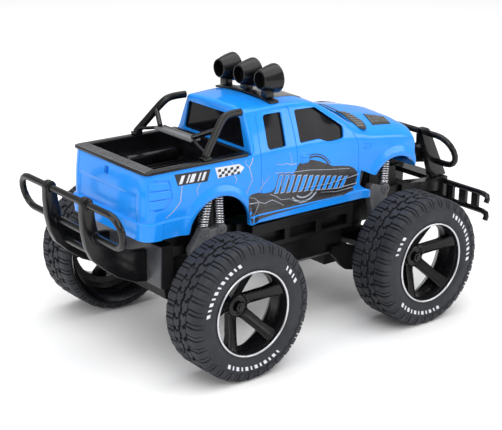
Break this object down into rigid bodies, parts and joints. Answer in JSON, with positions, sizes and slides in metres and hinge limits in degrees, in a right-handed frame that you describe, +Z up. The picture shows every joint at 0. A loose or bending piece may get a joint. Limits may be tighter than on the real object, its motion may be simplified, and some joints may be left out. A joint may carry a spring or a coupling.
{
  "type": "remote-controlled monster truck",
  "caption": "Toy monster truck: blue pickup body with roof lamps and roll bar on a black sprung chassis, looped bumpers, spoked rims and large lugged tyres.",
  "frame": {"origin": "on the ground under the middle of the truck", "axes": "+X forward, +Y the truck left, +Z up"},
  "size_m": [0.4214, 0.2438, 0.2424],
  "materials": {
    "body_blue": "glossy bright blue moulded body",
    "tinted_glazing": "glossy smoked black glazing",
    "black_plastic": "satin black plastic",
    "vent_plastic": "matt dark grey printed mesh",
    "lamp_clear": "clear polished lens",
    "chassis_plastic": "matt black plastic",
    "bracket_plastic": "satin dark grey plastic",
    "tyre_rubber": "matt blue-black rubber",
    "rim_black": "satin black plastic",
    "steel": "bright plated steel",
    "gear_nylon": "natural nylon",
    "battery_wrap": "green shrink wrap",
    "board_green": "green circuit board"
  },
  "bodies": {
    "chassis": {"chassis_tub": "chassis_plastic", "body_shell": "body_blue", "cab_glazing": "tinted_glazing", "bed_liner": "black_plastic", "roll_bar": "black_plastic", "lamp_bar": "black_plastic", "roof_lamp_left": "black_plastic", "roof_lamp_centre": "black_plastic", "roof_lamp_right": "black_plastic", "sunroof_panel": "tinted_glazing", "hood_vent_left": "vent_plastic", "hood_vent_right": "vent_plastic", "cowl_grille": "vent_plastic", "front_grille": "black_plastic", "headlight_left": "lamp_clear", "headlight_right": "lamp_clear", "rear_bumper": "black_plastic", "front_guard": "black_plastic", "front_bumper": "black_plastic", "shock_tower_rear": "chassis_plastic", "shock_tower_front": "chassis_plastic", "battery_pack": "battery_wrap", "circuit_board": "board_green", "spring_rear_outer_left": "steel", "spring_rear_outer_right": "steel", "spring_rear_inner_left": "steel", "spring_rear_inner_right": "steel", "spring_front_left": "steel", "spring_front_right": "steel"},
    "battery_door": {"battery_door": "chassis_plastic"},
    "power_switch": {"power_switch": "bracket_plastic"},
    "rear_axle": {"rear_axle_housing": "chassis_plastic", "rear_gearbox_cover": "chassis_plastic", "drive_motor": "steel", "rear_bracket_left": "bracket_plastic", "rear_bracket_right": "bracket_plastic"},
    "rear_wheels": {"drive_shaft": "steel", "final_gear": "gear_nylon", "tyre_rear_left": "tyre_rubber", "tyre_rear_right": "tyre_rubber", "rim_rear_left": "rim_black", "rim_rear_right": "rim_black", "hub_cap_rear_left": "rim_black", "hub_cap_rear_right": "rim_black"},
    "motor_pinion": {"motor_pinion": "steel"},
    "front_axle": {"front_axle_beam": "chassis_plastic", "steering_servo": "chassis_plastic", "front_bracket_left": "bracket_plastic", "front_bracket_right": "bracket_plastic"},
    "knuckle_left": {"knuckle_left": "chassis_plastic"},
    "knuckle_right": {"knuckle_right": "chassis_plastic"},
    "tie_rod": {"tie_rod": "bracket_plastic"},
    "servo_horn": {"servo_horn": "gear_nylon"},
    "front_wheel_left": {"tyre_front_left": "tyre_rubber", "rim_front_left": "rim_black", "hub_cap_front_left": "rim_black"},
    "front_wheel_right": {"tyre_front_right": "tyre_rubber", "rim_front_right": "rim_black", "hub_cap_front_right": "rim_black"}
  },
  "joints": [
    {"name": "rear_suspension", "type": "slide", "parent": "chassis", "child": "rear_axle", "axis": [0, 0, 1], "range_m": [0, 0.008], "stiffness_N_per_m": 1500, "springref_m": -0.007, "deforming": ["spring_rear_outer_left", "spring_rear_outer_right", "spring_rear_inner_left", "spring_rear_inner_right"]},
    {"name": "front_suspension", "type": "slide", "parent": "chassis", "child": "front_axle", "axis": [0, 0, 1], "range_m": [0, 0.008], "stiffness_N_per_m": 1500, "springref_m": -0.007, "deforming": ["spring_front_left", "spring_front_right"]},
    {"name": "rear_wheels_spin", "type": "hinge", "parent": "rear_axle", "child": "rear_wheels", "pos_m": [-0.103, 0, 0.06], "axis": [0, 1, 0], "continuous": true},
    {"name": "motor_pinion_spin", "type": "hinge", "parent": "rear_axle", "child": "motor_pinion", "pos_m": [-0.087, 0, 0.06], "axis": [0, 1, 0], "continuous": true},
    {"name": "steer_left", "type": "hinge", "parent": "front_axle", "child": "knuckle_left", "pos_m": [0.103, 0.068, 0.06], "axis": [0, 0, 1], "range_deg": [-20, 20], "stiffness_Nm_per_rad": 0.15},
    {"name": "steer_right", "type": "hinge", "parent": "front_axle", "child": "knuckle_right", "pos_m": [0.103, -0.068, 0.06], "axis": [0, 0, 1], "range_deg": [-20, 20]},
    {"name": "tie_rod_slide", "type": "slide", "parent": "front_axle", "child": "tie_rod", "axis": [0, 1, 0], "range_m": [-0.0056, 0.0056]},
    {"name": "servo_horn_turn", "type": "hinge", "parent": "front_axle", "child": "servo_horn", "pos_m": [0.074, 0, 0.054], "axis": [0, 0, 1], "range_deg": [-25, 25]},
    {"name": "front_wheel_left_spin", "type": "hinge", "parent": "knuckle_left", "child": "front_wheel_left", "pos_m": [0.103, 0.0997, 0.06], "axis": [0, 1, 0], "continuous": true},
    {"name": "front_wheel_right_spin", "type": "hinge", "parent": "knuckle_right", "child": "front_wheel_right", "pos_m": [0.103, -0.0997, 0.06], "axis": [0, 1, 0], "continuous": true},
    {"name": "battery_door_hinge", "type": "hinge", "parent": "chassis", "child": "battery_door", "pos_m": [-0.011, 0.022, 0.05], "axis": [1, 0, 0], "range_deg": [0, 85]},
    {"name": "power_switch_slide", "type": "slide", "parent": "chassis", "child": "power_switch", "axis": [1, 0, 0], "range_m": [0, 0.004]}
  ],
  "couplings": [
    {"joint": "motor_pinion_spin", "follows": "rear_wheels_spin", "ratio": -3},
    {"joint": "steer_right", "follows": "steer_left", "ratio": 1},
    {"joint": "tie_rod_slide", "follows": "steer_left", "m_per_rad": -0.016},
    {"joint": "servo_horn_turn", "follows": "steer_left", "ratio": -1.2308}
  ]
}
